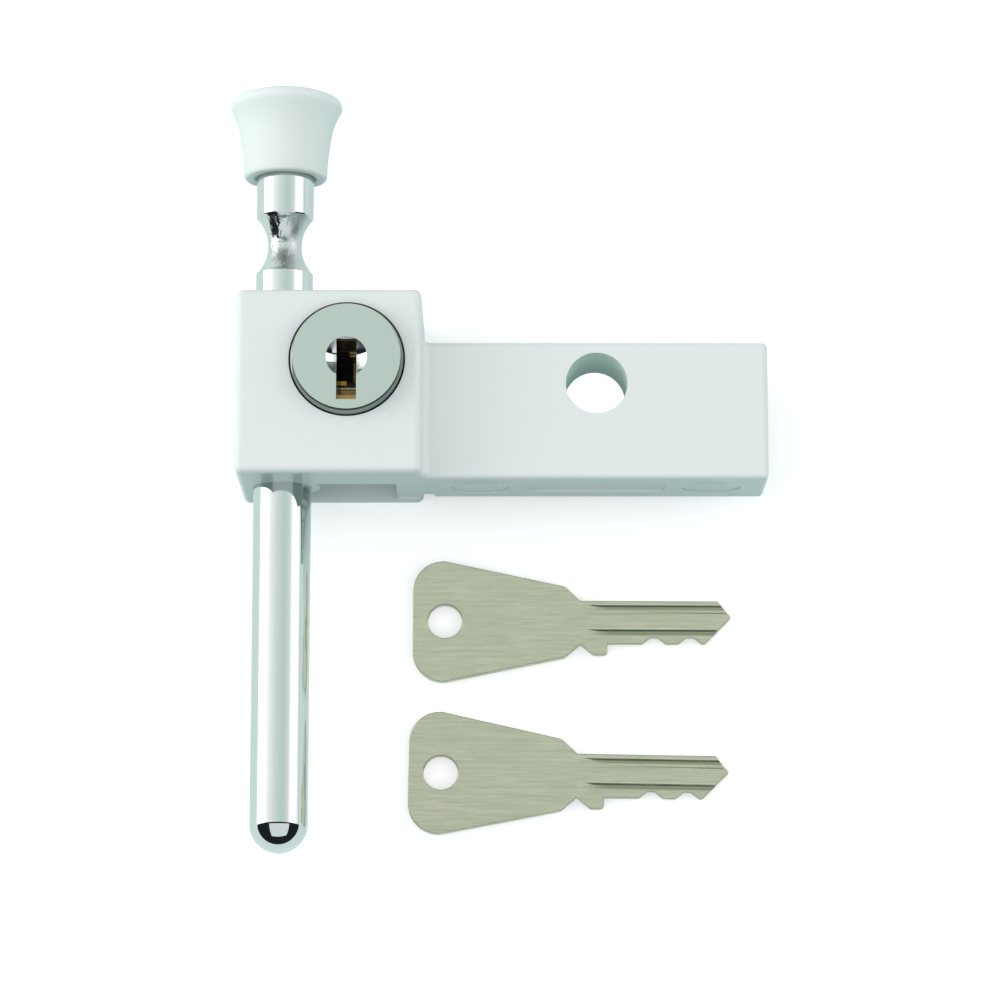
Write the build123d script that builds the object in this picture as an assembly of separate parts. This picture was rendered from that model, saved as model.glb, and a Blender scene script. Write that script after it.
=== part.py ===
from build123d import *
import math
import os

# Key-locking multi-purpose door bolt, lying on its back with two loose keys beside it.
# X runs along the fixing arm, Y runs up the bolt rod towards its knob, Z comes out of the front.
# The origin is on the flat back of the lock block, where the axis of the key plug meets it.
# All sizes are millimetres.

# Lock block, measured from the axis of the key plug
block_left = 18.5
block_right = 12.3
block_top = 12.0
block_bottom = 19.1
block_depth = 26.2
block_round = 1.2

# Fixing arm, which is set back from the front and from the back of the block
arm_reach = 69.9
arm_top = 4.2
arm_back = 5.5
arm_depth = 15.2
arm_round = 1.0
arm_wall = 2.0
inner_corner_round = 1.6

# Fixing hole through the arm, halfway between the clamp screws
hole_y = -2.8
hole_radius = 5.15
hole_boss_wall = 1.6

# Bolt rod and knob
rod_radius = 4.85
rod_x = -11.15
rod_z = 13.1
rod_tip_y = -80.5
waist_radius = 2.85
waist_y = 22.5
waist_height = 9.8
throw = 22.0
knob_stop_gap = 0.3
knob_foot_radius = 7.05
knob_waist_radius = 7.45
knob_waist_height = 5.3
knob_flare_radius = 8.4
knob_flare_height = 9.95
knob_flare_lean = 32.0
knob_rim_radius = 9.55
knob_rim_round = 1.35
knob_height = 15.6
knob_crown = 2.95
knob_edge_round = 0.5
knob_recess = 0.8
knob_recess_gap = 0.35
spigot_radius = 3.0
spigot_length = 8.0
insert_wall = 1.3

# Key plug
face_radius = 9.5
face_proud = 1.9
face_taper = 0.55
flange_seat_z = 20.6
barrel_wall = 0.5
barrel_gap = 0.35
floor_over_rod = 0.7
fin_radius = 8.0
fin_half_width = 3.4
barrel_end_z = 9.8
dimple_radius = 3.4
dimple_depth = 1.1
keyway_width = 3.3
keyway_top = 3.0
keyway_bottom = 7.2
keyway_end_wall = 0.8
cam_pin_radius = 1.2
cam_pin_offset = 1.5
cam_pin_length = 5.2
turn_angle = 90.0

# Wafer tumblers in the plug
wafer_count = 4
wafer_pitch = 2.3
wafer_first_z = 18.6
wafer_thickness = 1.1
wafer_half_width = 2.7
wafer_top = 3.4
wafer_bottom = 7.3
wafer_window_half_width = 1.85
wafer_window_top = 3.05
wafer_window_bottom = 4.5
wafer_lift = 0.7
wafer_lug_reach = 4.2
wafer_lug_low = 1.1
wafer_lug_high = 0.2
wafer_spring_x = -3.45
wafer_spring_radius = 0.6
wafer_spring_wire = 0.22
wafer_spring_top = 2.9
wafer_spring_turns = 4

# Pin that holds the plug in the block
holding_pin_radius = 0.8
holding_pin_inset = 0.5
holding_pin_rise = 2.5
holding_pin_length = 17.5
holding_pin_sink = 0.3

# Latch slide behind the plug
latch_half_width = 4.4
latch_end_gap = 0.58
latch_left = 5.0
latch_nose_half_width = 2.5
latch_nose_from_rod = 3.45
latch_top_gap = 0.5
latch_floor_gap = 0.4
latch_room_wall = 2.0
latch_spring_radius = 1.6
latch_spring_wire = 0.5
latch_spring_turns = 6
latch_spring_seat = 1.9
latch_spring_z = 5.7

# Cover on the back of the block, and its screws
cover_thickness = 1.8
cover_left = 8.4
cover_side_wall = 1.3
cover_top_wall = 2.2
cover_gap = 0.1
cover_screw_inset = 2.5
small_screw_radius = 1.25
small_screw_head = 2.1
small_screw_head_depth = 1.1
small_screw_length = 7.0
small_screw_room = 0.5
small_screw_slot = 1.3

# Pocket in the underside of the block
pocket_right = 7.9
pocket_top_z = 16.1
pocket_depth = 6.1
pocket_round = 1.0
rod_boss_wall = 1.45

# Shallow recess in the underside, from the pocket to just past the block
recess_past_block = 1.9
recess_depth = 0.4
recess_low_z = 3.2

# Clamp screws in the underside of the arm, and the caps over them
clamp_from_block = 9.8
clamp_from_end = 9.2
clamp_recess_radius = 4.85
clamp_recess_depth = 2.7
clamp_screw_radius = 2.5
clamp_screw_length = 8.4
clamp_head_radius = 4.3
clamp_head_height = 1.5
clamp_socket_radius = 1.6
clamp_socket_depth = 1.0
clamp_boss_half_width = 6.5
clamp_boss_height = 2.3
cap_thickness = 1.0
cap_rim_width = 0.7
cap_dish = 0.45
groove_depth = 0.4
groove_from_clamp = 7.8
groove_half_width = 3.4

# Fixing plate that closes the back of the arm
plate_thickness = 2.5
plate_gap = 0.2
plate_screw_spacing = 26.0
plate_screw_y = -4.0
plate_screw_radius = 2.25
plate_countersink = 4.2
lug_half_width = 4.5
lug_depth = 5.0
lug_front_gap = 0.9

# Friction brake that holds the rod where it is put
brake_y = -9.0
brake_radius = 1.9
pad_length = 2.6
brake_spring_radius = 1.6
brake_spring_wire = 0.45
brake_spring_turns = 4
brake_spring_length = 3.0
brake_screw_sink = 0.4
slot_width = 0.7
slot_depth = 0.7

# Keys, measured from the centre of the ring hole
key_thickness = 2.2
ring_hole_radius = 2.9
bow_left = 5.45
bow_half_height = 10.3
bow_neck_x = 20.3
bow_neck_half_height = 6.05
bow_corner_round = 5.2
bow_neck_round = 1.5
blade_start_x = 22.9
blade_top = 3.6
blade_bottom = 3.7
blade_tip_x = 48.4
blade_tip_y = 0.85
blade_shoulder_x = 46.2
blade_heel_x = 44.0
stop_lug_x = 25.2
stop_lug_end_x = 27.5
stop_lug_depth = 5.65
stop_lug_round = 0.7
cut_width = 1.2
cut_flank = 1.4
cut_depth = 1.15
cut_positions = (35.4, 41.5)
groove_top = 2.95
groove_width = 1.4
ledge_top = -1.2
milled_depth = 0.45
milled_flank = 0.45
milled_run_out = 3.0
key_places = ((16.0, -39.95, -0.25), (15.35, -65.7, -1.0))

# Fits
running_gap = 0.05
press_gap = 0.02
slide_gap = 0.15
clearance = 0.2
rest_gap = 0.05

# How far cuts run past a face, and how near counts as the same place
over = 1.0
same_place = 0.01

# Worked out from the sizes above
arm_front = arm_back + arm_depth
rod_bore = rod_radius + running_gap
face_z = block_depth + face_proud
knob_foot_y = block_top + throw + knob_stop_gap
chamber_radius = fin_radius + clearance
chamber_end_z = barrel_end_z - slide_gap
chamber_left = rod_x + rod_bore + barrel_wall
barrel_radius = -chamber_left - barrel_gap
holding_pin_x = face_radius - holding_pin_inset
holding_pin_z = flange_seat_z + holding_pin_rise
cover_right = block_right - cover_side_wall
cover_top = block_top - cover_top_wall
cover_screw_xs = (cover_screw_inset - cover_left, cover_right - cover_screw_inset)
cover_screw_ys = (cover_top - cover_screw_inset, -block_bottom + pocket_depth + cover_screw_inset)
latch_floor_z = cover_thickness + latch_floor_gap
latch_top_z = barrel_end_z - latch_top_gap
latch_travel = 2 * cam_pin_offset * math.sin(math.radians(turn_angle / 2))
latch_room_right = block_right - latch_room_wall
latch_room_left = latch_left + clearance
latch_right = latch_room_right - latch_travel - latch_end_gap
latch_nose_x = rod_x + latch_nose_from_rod
cam_start = math.radians(270 - turn_angle / 2)
cam_pin_x = cam_pin_offset * math.cos(cam_start)
cam_pin_y = cam_pin_offset * math.sin(cam_start)
clamp_xs = (block_right + clamp_from_block, arm_reach - clamp_from_end)
clamp_z = arm_back + arm_depth / 2
clamp_head_y = -block_bottom + clamp_recess_depth
hole_x = sum(clamp_xs) / 2


def box(x0, x1, y0, y1, z0, z1):
    """Box between two corners."""
    centre = Pos((x0 + x1) / 2, (y0 + y1) / 2, (z0 + z1) / 2)
    return centre * Box(x1 - x0, y1 - y0, z1 - z0)


def post(x, y, z0, z1, radius):
    """Cylinder along Z."""
    return Pos(x, y, (z0 + z1) / 2) * Cylinder(radius, z1 - z0)


def bar_y(x, z, y0, y1, radius):
    """Cylinder along Y."""
    return Pos(x, (y0 + y1) / 2, z) * Rot(90, 0, 0) * Cylinder(radius, y1 - y0)


def bar_x(y, z, x0, x1, radius):
    """Cylinder along X."""
    return Pos((x0 + x1) / 2, y, z) * Rot(0, 90, 0) * Cylinder(radius, x1 - x0)


def rounded_box(x0, x1, y0, y1, z0, z1, radius):
    """Box with every edge rounded except those of its back face."""
    solid = box(x0, x1, y0, y1, z0, z1)
    kept = [edge for edge in solid.edges() if edge.center().Z > z0 + radius / 2]
    return fillet(kept, radius)


def coil(radius, wire, length, turns):
    """Compression spring along +Z from the origin, one unbroken tube."""
    rise = length - wire
    path = Helix(rise / turns, rise, radius - wire / 2)
    start = Plane(origin=path @ 0, z_dir=path % 0)
    return Pos(0, 0, wire / 2) * sweep(start * Circle(wire / 2), path, is_frenet=True)


def block_and_arm():
    """Outer shape of the casting."""
    block = rounded_box(-block_left, block_right, -block_bottom, block_top, 0, block_depth, block_round)
    arm = rounded_box(0, arm_reach, -block_bottom, arm_top, arm_back, arm_front, arm_round)
    shape = block + arm
    corner = [
        edge for edge in shape.edges()
        if abs(edge.center().X - block_right) < same_place
        and abs(edge.center().Y - arm_top) < same_place
    ]
    return fillet(corner, inner_corner_round)


def arm_hollow():
    """Space inside the arm, left open at the back."""
    hollow = box(
        block_right + arm_wall, arm_reach - arm_wall,
        -block_bottom + arm_wall, arm_top - arm_wall,
        arm_back - over, arm_front - arm_wall,
    )
    hollow -= post(hole_x, hole_y, arm_back - over, arm_front, hole_radius + hole_boss_wall)
    for x in clamp_xs:
        hollow -= box(
            x - clamp_boss_half_width, x + clamp_boss_half_width,
            -block_bottom, -block_bottom + arm_wall + clamp_boss_height,
            arm_back + plate_thickness + clearance, arm_front,
        )
    return hollow


def underside_cuts():
    """Screw recesses and the shallow recesses beside them, in the underside."""
    low = -block_bottom - over
    cuts = box(
        clamp_xs[0] + groove_from_clamp, clamp_xs[1] - groove_from_clamp,
        low, -block_bottom + groove_depth,
        clamp_z - groove_half_width, clamp_z + groove_half_width,
    )
    cuts += box(
        pocket_right - over, block_right + recess_past_block,
        low, -block_bottom + recess_depth,
        recess_low_z, pocket_top_z,
    )
    inside = -block_bottom + arm_wall + clamp_boss_height
    for x in clamp_xs:
        cuts += bar_y(x, clamp_z, low, clamp_head_y, clamp_recess_radius)
        cuts += bar_y(x, clamp_z, low, inside + over, clamp_screw_radius + slide_gap)
    return cuts


def block_pocket():
    """Pocket in the underside of the block, beside the boss that guides the rod."""
    pocket = box(
        -cover_left, pocket_right,
        -block_bottom - over, -block_bottom + pocket_depth,
        cover_thickness - over, pocket_top_z,
    )
    upright = [edge for edge in pocket.edges().filter_by(Axis.Y) if edge.center().Z > cover_thickness]
    pocket = fillet(upright, pocket_round)
    return pocket - bar_y(rod_x, rod_z, -block_bottom - over, block_top, rod_bore + rod_boss_wall)


def plug_room():
    """Bores for the plug, with the barrel's chamber kept clear of the rod."""
    room = post(0, 0, flange_seat_z, face_z, face_radius + slide_gap)
    room += post(0, 0, rod_z + rod_bore + floor_over_rod, flange_seat_z, chamber_radius)
    chamber = post(0, 0, chamber_end_z, flange_seat_z, chamber_radius)
    side = box(chamber_left, chamber_radius, -chamber_radius, chamber_radius, 0, flange_seat_z)
    return room + (chamber & side)


def latch_room():
    """Chamber for the latch slide, and the window for its nose."""
    room = box(
        -latch_room_left, latch_room_right,
        -latch_half_width - clearance, latch_half_width + clearance,
        0, chamber_end_z + clearance,
    )
    window = box(
        latch_nose_x - latch_travel - clearance, -latch_room_left,
        -latch_nose_half_width - clearance, latch_nose_half_width + clearance,
        latch_floor_z - clearance, latch_top_z + clearance,
    )
    return room + window


def cover_outline(gap):
    """Plate shape of the back cover, drawn smaller by a gap at its free edges."""
    return box(
        -cover_left + gap, cover_right - gap, -block_bottom, cover_top - gap, 0, cover_thickness,
    )


def cover_screw_places():
    """Centres of the four cover screws."""
    return [(x, y) for x in cover_screw_xs for y in cover_screw_ys]


def lock_body():
    """Die-cast block and hollow arm in one piece."""
    body = block_and_arm()
    body -= bar_y(rod_x, rod_z, -block_bottom - over, block_top + over, rod_bore)
    body -= plug_room()
    body -= latch_room()
    body -= cover_outline(0)
    body -= block_pocket()
    body -= arm_hollow()
    body -= underside_cuts()
    body -= post(hole_x, hole_y, arm_back - over, arm_front + over, hole_radius)
    body -= bar_y(
        holding_pin_x, holding_pin_z,
        block_top - holding_pin_length, block_top + over, holding_pin_radius + press_gap,
    )
    body -= post(rod_x, brake_y, -over, rod_z - waist_radius, brake_radius + running_gap)
    for x, y in cover_screw_places():
        body -= post(x, y, 0, small_screw_length + small_screw_room, small_screw_radius + press_gap)
    return body


def back_cover():
    """Pressed plate that shuts the back of the block."""
    plate = cover_outline(cover_gap)
    for x, y in cover_screw_places():
        plate -= post(x, y, -over, cover_thickness + over, small_screw_radius + clearance)
        plate -= countersink(x, y, cover_gap)
    return plate


def countersink(x, y, gap):
    """Cone of a small countersunk head, wide end on the back face."""
    wide = small_screw_head + gap
    narrow = small_screw_radius + gap
    return Pos(x, y, small_screw_head_depth / 2) * Cone(wide, narrow, small_screw_head_depth)


def cover_screw(x, y):
    """Countersunk cross-recess screw through the back cover."""
    screw = countersink(x, y, 0)
    screw += post(x, y, small_screw_head_depth, small_screw_length, small_screw_radius)
    reach = small_screw_slot
    half = slot_width / 2
    screw -= box(x - reach, x + reach, y - half, y + half, -over, slot_depth)
    screw -= box(x - half, x + half, y - reach, y + reach, -over, slot_depth)
    return screw


def fixing_plate():
    """Steel plate in the back of the arm, with two threaded lugs for the clamp screws."""
    left = block_right + arm_wall + plate_gap
    right = arm_reach - arm_wall - plate_gap
    low = -block_bottom + arm_wall + plate_gap
    high = arm_top - arm_wall - plate_gap
    front = arm_back + plate_thickness
    plate = box(left, right, low, high, arm_back, front)
    lug_low = -block_bottom + arm_wall + clamp_boss_height + plate_gap
    for x in clamp_xs:
        plate += box(
            x - lug_half_width, x + lug_half_width, lug_low, lug_low + lug_depth,
            front, arm_front - arm_wall - lug_front_gap,
        )
        plate -= bar_y(x, clamp_z, low, high, clamp_screw_radius + running_gap)
    plate -= post(hole_x, hole_y, 0, arm_front, hole_radius + hole_boss_wall + plate_gap)
    for side in (-1, 1):
        x = hole_x + side * plate_screw_spacing / 2
        plate -= post(x, plate_screw_y, 0, arm_front, plate_screw_radius)
        depth = plate_countersink - plate_screw_radius
        cone = Cone(plate_screw_radius, plate_countersink, depth)
        plate -= Pos(x, plate_screw_y, front - depth / 2) * cone
    return plate


def clamp_screw(x):
    """Screw that pulls the arm onto the fixing plate."""
    head_low = clamp_head_y - clamp_head_height
    screw = bar_y(x, clamp_z, head_low, clamp_head_y, clamp_head_radius)
    screw += bar_y(x, clamp_z, clamp_head_y, clamp_head_y + clamp_screw_length, clamp_screw_radius)
    head_face = Plane(origin=(x, head_low, clamp_z), z_dir=(0, 1, 0))
    socket = head_face * RegularPolygon(clamp_socket_radius, 6)
    return screw - extrude(socket, clamp_socket_depth)


def screw_cap(x):
    """Dished cap pressed into the recess over a clamp screw."""
    high = clamp_head_y - clamp_head_height
    low = high - cap_thickness
    cap = bar_y(x, clamp_z, low, high, clamp_recess_radius - press_gap)
    rim = clamp_recess_radius - cap_rim_width
    dish_radius = (rim * rim + cap_dish * cap_dish) / (2 * cap_dish)
    return cap - Pos(x, low + cap_dish - dish_radius, clamp_z) * Sphere(dish_radius)


def wafer_z(number):
    """Middle plane of a wafer, counted from the key's side."""
    return wafer_first_z - number * wafer_pitch


def wafer_slot(number):
    """Space for one wafer, its side lug and its spring in the barrel."""
    z = wafer_z(number)
    half = wafer_thickness / 2 + running_gap
    side = wafer_half_width + slide_gap
    slot = box(
        -side, side, -wafer_bottom - slide_gap, wafer_top + wafer_lift + slide_gap, z - half, z + half,
    )
    slot += box(
        -wafer_lug_reach - slide_gap, 0,
        -wafer_lug_low - slide_gap, wafer_lift - wafer_lug_high + slide_gap, z - half, z + half,
    )
    slot += bar_y(
        wafer_spring_x, z, -wafer_lug_high, wafer_spring_top, wafer_spring_radius + slide_gap,
    )
    return slot


def lock_plug():
    """Round face, barrel with its key fin, and the cam pin at the inner end."""
    seat = flange_seat_z + rest_gap
    taper = Cone(face_radius, face_radius - face_taper, face_proud)
    flange = post(0, 0, seat, block_depth, face_radius) + Pos(0, 0, block_depth + face_proud / 2) * taper
    pin_half = holding_pin_radius + slide_gap
    ring = post(0, 0, holding_pin_z - pin_half, holding_pin_z + pin_half, face_radius + over)
    ring -= post(0, 0, seat, face_z, holding_pin_x - holding_pin_radius - clearance)
    fin = box(-fin_half_width, fin_half_width, -fin_radius, 0, barrel_end_z, seat)
    fin &= post(0, 0, barrel_end_z, seat, fin_radius)
    plug = flange - ring + post(0, 0, barrel_end_z, seat, barrel_radius) + fin
    dish_radius = (dimple_radius ** 2 + dimple_depth ** 2) / (2 * dimple_depth)
    plug -= Pos(0, 0, face_z - dimple_depth + dish_radius) * Sphere(dish_radius)
    plug -= box(
        -keyway_width / 2, keyway_width / 2, -keyway_bottom, keyway_top,
        barrel_end_z + keyway_end_wall, face_z + over,
    )
    for number in range(wafer_count):
        plug -= wafer_slot(number)
    return plug + post(cam_pin_x, cam_pin_y, barrel_end_z - cam_pin_length, barrel_end_z, cam_pin_radius)


def wafer(number):
    """Tumbler plate with a window for the key and a lug for its spring."""
    z = wafer_z(number)
    low = z - wafer_thickness / 2
    high = z + wafer_thickness / 2
    plate = box(-wafer_half_width, wafer_half_width, -wafer_bottom, wafer_top, low, high)
    plate += box(-wafer_lug_reach, 0, -wafer_lug_low, -wafer_lug_high, low, high)
    window = wafer_window_half_width
    return plate - box(-window, window, -wafer_window_bottom, wafer_window_top, low - over, high + over)


def wafer_spring(number):
    """Small spring that presses one wafer down onto the key."""
    length = wafer_spring_top + wafer_lug_high - rest_gap
    spring = coil(wafer_spring_radius, wafer_spring_wire, length, wafer_spring_turns)
    return Pos(wafer_spring_x, wafer_spring_top, wafer_z(number)) * Rot(90, 0, 0) * spring


def holding_pin():
    """Cross pin that runs in the groove of the plug's face."""
    return bar_y(
        holding_pin_x, holding_pin_z,
        block_top - holding_pin_length, block_top - holding_pin_sink, holding_pin_radius,
    )


def latch_slide():
    """Plate moved by the cam pin, with the nose that drops into the rod's waist."""
    plate = box(-latch_left, latch_right, -latch_half_width, latch_half_width, latch_floor_z, latch_top_z)
    plate += box(
        latch_nose_x, -latch_left, -latch_nose_half_width, latch_nose_half_width,
        latch_floor_z, latch_top_z,
    )
    half = cam_pin_radius + slide_gap
    plate -= box(
        cam_pin_x - half, cam_pin_x + half, -cam_pin_offset - half, cam_pin_y + half,
        0, block_depth,
    )
    seat_bore = latch_spring_radius + slide_gap
    return plate - bar_x(0, latch_spring_z, latch_spring_seat, latch_right + over, seat_bore)


def latch_spring():
    """Spring that presses the latch slide towards the rod."""
    length = latch_room_right - latch_spring_seat - 2 * rest_gap
    spring = coil(latch_spring_radius, latch_spring_wire, length, latch_spring_turns)
    return Pos(latch_spring_seat + rest_gap, 0, latch_spring_z) * Rot(0, 90, 0) * spring


def bolt_rod():
    """Round bolt with a waist for the latch, a ball end and a spigot for the knob."""
    shoulder_y = knob_foot_y + knob_recess
    half = waist_height / 2
    with BuildPart() as turning:
        with BuildSketch():
            with BuildLine():
                Line((0, rod_tip_y), (0, shoulder_y + spigot_length))
                Line((0, shoulder_y + spigot_length), (spigot_radius, shoulder_y + spigot_length))
                Line((spigot_radius, shoulder_y + spigot_length), (spigot_radius, shoulder_y))
                Line((spigot_radius, shoulder_y), (rod_radius, shoulder_y))
                Line((rod_radius, shoulder_y), (rod_radius, waist_y + half))
                ThreePointArc(
                    (rod_radius, waist_y + half), (waist_radius, waist_y), (rod_radius, waist_y - half),
                )
                Line((rod_radius, waist_y - half), (rod_radius, rod_tip_y + rod_radius))
                CenterArc((0, rod_tip_y + rod_radius), rod_radius, 270, 90)
            make_face()
        revolve(axis=Axis.Y)
    return Pos(rod_x, 0, rod_z) * turning.part


def bolt_knob():
    """Flared push knob with a domed top and a blind hole for its insert."""
    crown_y = knob_foot_y + knob_height
    rim_y = crown_y - knob_crown
    rim_centre = knob_rim_radius - knob_rim_round
    dome_rise = knob_crown - knob_rim_round
    dome_radius = (rim_centre ** 2 + knob_crown ** 2 - knob_rim_round ** 2) / (2 * dome_rise)
    dome_y = crown_y - dome_radius
    dome_angle = math.degrees(math.atan2(rim_y - dome_y, rim_centre))
    lean = math.radians(knob_flare_lean)
    foot_edge = (knob_foot_radius, knob_foot_y + knob_edge_round)
    flare_end = (
        rim_centre + knob_rim_round * math.cos(lean),
        rim_y - knob_rim_round * math.sin(lean),
    )
    with BuildPart() as turning:
        with BuildSketch():
            with BuildLine():
                Line((0, knob_foot_y), (knob_foot_radius - knob_edge_round, knob_foot_y))
                CenterArc(
                    (knob_foot_radius - knob_edge_round, knob_foot_y + knob_edge_round),
                    knob_edge_round, 270, 90,
                )
                Spline(
                    foot_edge,
                    (knob_waist_radius, knob_foot_y + knob_waist_height),
                    (knob_flare_radius, knob_foot_y + knob_flare_height),
                    flare_end,
                    tangents=((0, 1), (math.sin(lean), math.cos(lean))),
                )
                CenterArc(
                    (rim_centre, rim_y), knob_rim_round, -knob_flare_lean, knob_flare_lean + dome_angle,
                )
                CenterArc((0, dome_y), dome_radius, dome_angle, 90 - dome_angle)
                Line((0, crown_y), (0, knob_foot_y))
            make_face()
        revolve(axis=Axis.Y)
    knob = Pos(rod_x, 0, rod_z) * turning.part
    shoulder_y = knob_foot_y + knob_recess
    knob -= bar_y(rod_x, rod_z, knob_foot_y - over, shoulder_y + rest_gap, rod_radius + knob_recess_gap)
    bore = spigot_radius + running_gap + insert_wall
    return knob - bar_y(rod_x, rod_z, knob_foot_y, shoulder_y + spigot_length + clearance, bore)


def knob_insert():
    """Threaded bush moulded into the knob."""
    low = knob_foot_y + knob_recess + clearance
    high = knob_foot_y + knob_recess + spigot_length
    bore = spigot_radius + running_gap
    insert = bar_y(rod_x, rod_z, low, high, bore + insert_wall - press_gap)
    return insert - bar_y(rod_x, rod_z, low - over, high + over, bore)


def brake_levels():
    """Heights where the brake's pad, spring and screw meet."""
    pad_low = rod_z - rod_bore - pad_length
    spring_low = pad_low - brake_spring_length
    return pad_low, spring_low


def brake_pad():
    """Nylon pad hollowed to the rod."""
    pad_low = brake_levels()[0]
    pad = post(rod_x, brake_y, pad_low, rod_z - rod_bore + clearance, brake_radius)
    return pad - bar_y(rod_x, rod_z, -block_bottom, block_top, rod_bore)


def brake_spring():
    """Spring behind the brake pad."""
    spring_low = brake_levels()[1]
    length = brake_spring_length - 2 * rest_gap
    spring = coil(brake_spring_radius, brake_spring_wire, length, brake_spring_turns)
    return Pos(rod_x, brake_y, spring_low + rest_gap) * spring


def brake_screw():
    """Slotted grub screw that sets the brake."""
    spring_low = brake_levels()[1]
    screw = post(rod_x, brake_y, brake_screw_sink, spring_low, brake_radius + running_gap - press_gap)
    return screw - box(
        rod_x - brake_radius - over, rod_x + brake_radius + over,
        brake_y - slot_width / 2, brake_y + slot_width / 2,
        0, brake_screw_sink + slot_depth,
    )


def key_outline():
    """Face of the key: bow, stop lug, two cuts and the pointed tip."""
    lower = [
        (blade_start_x, -blade_bottom),
        (stop_lug_x, -stop_lug_depth),
        (stop_lug_end_x, -stop_lug_depth),
        (stop_lug_end_x, -blade_bottom),
    ]
    for x in cut_positions:
        lower += [
            (x - cut_width / 2 - cut_flank, -blade_bottom),
            (x - cut_width / 2, -blade_bottom + cut_depth),
            (x + cut_width / 2, -blade_bottom + cut_depth),
            (x + cut_width / 2 + cut_flank, -blade_bottom),
        ]
    bow = [
        (blade_start_x, blade_top),
        (bow_neck_x, bow_neck_half_height),
        (0, bow_half_height),
        (-bow_left, bow_half_height),
        (-bow_left, -bow_half_height),
        (0, -bow_half_height),
        (bow_neck_x, -bow_neck_half_height),
    ]
    tip = [(blade_heel_x, -blade_bottom), (blade_tip_x, blade_tip_y), (blade_shoulder_x, blade_top)]
    return make_face(Polyline(bow + lower + tip, close=True))


def milled_cut(high, low):
    """Cut along the blade's front face, with a sloped flank and a cutter run-out at the bow."""
    end = blade_tip_x + over
    flank = Polyline(
        (0, high, key_thickness), (0, high - milled_flank, key_thickness - milled_depth),
        (0, low, key_thickness - milled_depth), (0, low, key_thickness), close=True,
    )
    across = Pos(blade_start_x, 0, 0) * extrude(make_face(flank), end - blade_start_x, dir=(1, 0, 0))
    ramp = Polyline(
        (blade_start_x, low, key_thickness), (end, low, key_thickness),
        (end, low, key_thickness - milled_depth),
        (blade_start_x + milled_run_out, low, key_thickness - milled_depth), close=True,
    )
    return across & extrude(make_face(ramp), high - low, dir=(0, 1, 0))


def key():
    """One flat key with its milled grooves, ring hole at the origin."""
    blank = extrude(key_outline(), key_thickness)
    corners = [
        edge for edge in blank.edges().filter_by(Axis.Z)
        if abs(edge.center().X + bow_left) < same_place
    ]
    blank = fillet(corners, bow_corner_round)
    necks = [
        edge for edge in blank.edges().filter_by(Axis.Z)
        if abs(edge.center().X - bow_neck_x) < same_place
    ]
    blank = fillet(necks, bow_neck_round)
    lug_corners = [
        edge for edge in blank.edges().filter_by(Axis.Z)
        if abs(edge.center().Y + stop_lug_depth) < same_place
    ]
    blank = fillet(lug_corners, stop_lug_round)
    blank -= post(0, 0, -over, key_thickness + over, ring_hole_radius)
    for high, low in ((groove_top, groove_top - groove_width), (ledge_top, -stop_lug_depth - over)):
        cut = milled_cut(high, low)
        blank -= cut
        blank -= mirror(cut, about=Plane.XY.offset(key_thickness / 2))
    return blank


def placed_key(number):
    """Key laid on the surface beside the lock."""
    x, y, angle = key_places[number]
    return Pos(x, y, 0) * Rot(0, 0, angle) * key()


def pieces():
    """Every piece by the name of its node."""
    made = {
        "lock_body": lock_body(),
        "back_cover": back_cover(),
        "fixing_plate": fixing_plate(),
        "lock_plug": lock_plug(),
        "plug_holding_pin": holding_pin(),
        "latch_slide": latch_slide(),
        "latch_spring": latch_spring(),
        "bolt_rod": bolt_rod(),
        "bolt_knob": bolt_knob(),
        "knob_insert": knob_insert(),
        "brake_pad": brake_pad(),
        "brake_spring": brake_spring(),
        "brake_screw": brake_screw(),
    }
    for number, (x, y) in enumerate(cover_screw_places()):
        made[f"cover_screw_{number + 1}"] = cover_screw(x, y)
    for number, x in enumerate(clamp_xs):
        made[f"clamp_screw_{number + 1}"] = clamp_screw(x)
        made[f"screw_cap_{number + 1}"] = screw_cap(x)
    for number in range(wafer_count):
        made[f"wafer_{number + 1}"] = wafer(number)
        made[f"wafer_spring_{number + 1}"] = wafer_spring(number)
    for number in range(len(key_places)):
        made[f"key_{number + 1}"] = placed_key(number)
    return made


os.makedirs("parts", exist_ok=True)
for name, shape in pieces().items():
    shape.label = name
    export_step(shape, f"parts/{name}.step")
    print(name, round(shape.volume, 2))
print("latch travel", round(latch_travel, 4), "knob foot", round(knob_foot_y, 2))
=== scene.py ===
import math
import bmesh
import bpy
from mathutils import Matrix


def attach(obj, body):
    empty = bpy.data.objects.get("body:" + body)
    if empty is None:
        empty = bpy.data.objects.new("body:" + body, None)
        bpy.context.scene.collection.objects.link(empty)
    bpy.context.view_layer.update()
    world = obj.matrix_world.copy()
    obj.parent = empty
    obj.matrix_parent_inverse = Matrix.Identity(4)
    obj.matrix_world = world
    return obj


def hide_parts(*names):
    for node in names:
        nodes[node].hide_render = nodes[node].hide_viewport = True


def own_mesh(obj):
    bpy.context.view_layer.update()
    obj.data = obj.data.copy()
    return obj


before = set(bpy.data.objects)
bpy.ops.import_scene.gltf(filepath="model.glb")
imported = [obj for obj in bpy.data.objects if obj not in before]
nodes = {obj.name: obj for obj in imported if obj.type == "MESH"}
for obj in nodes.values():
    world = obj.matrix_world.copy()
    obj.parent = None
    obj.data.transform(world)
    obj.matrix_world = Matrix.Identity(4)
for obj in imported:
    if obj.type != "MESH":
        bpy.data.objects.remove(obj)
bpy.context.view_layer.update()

mm = 0.001
print("frame loaded:", len(nodes), "nodes")


# Small helpers for node trees

def addNode(tree, kind, **values):
    made = tree.nodes.new(kind)
    for name, value in values.items():
        setattr(made, name, value)
    return made


def fill(made, **values):        # sets input sockets by name, spaces written as underscores
    for name, value in values.items():
        made.inputs[name.replace("_", " ")].default_value = value
    return made


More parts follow.
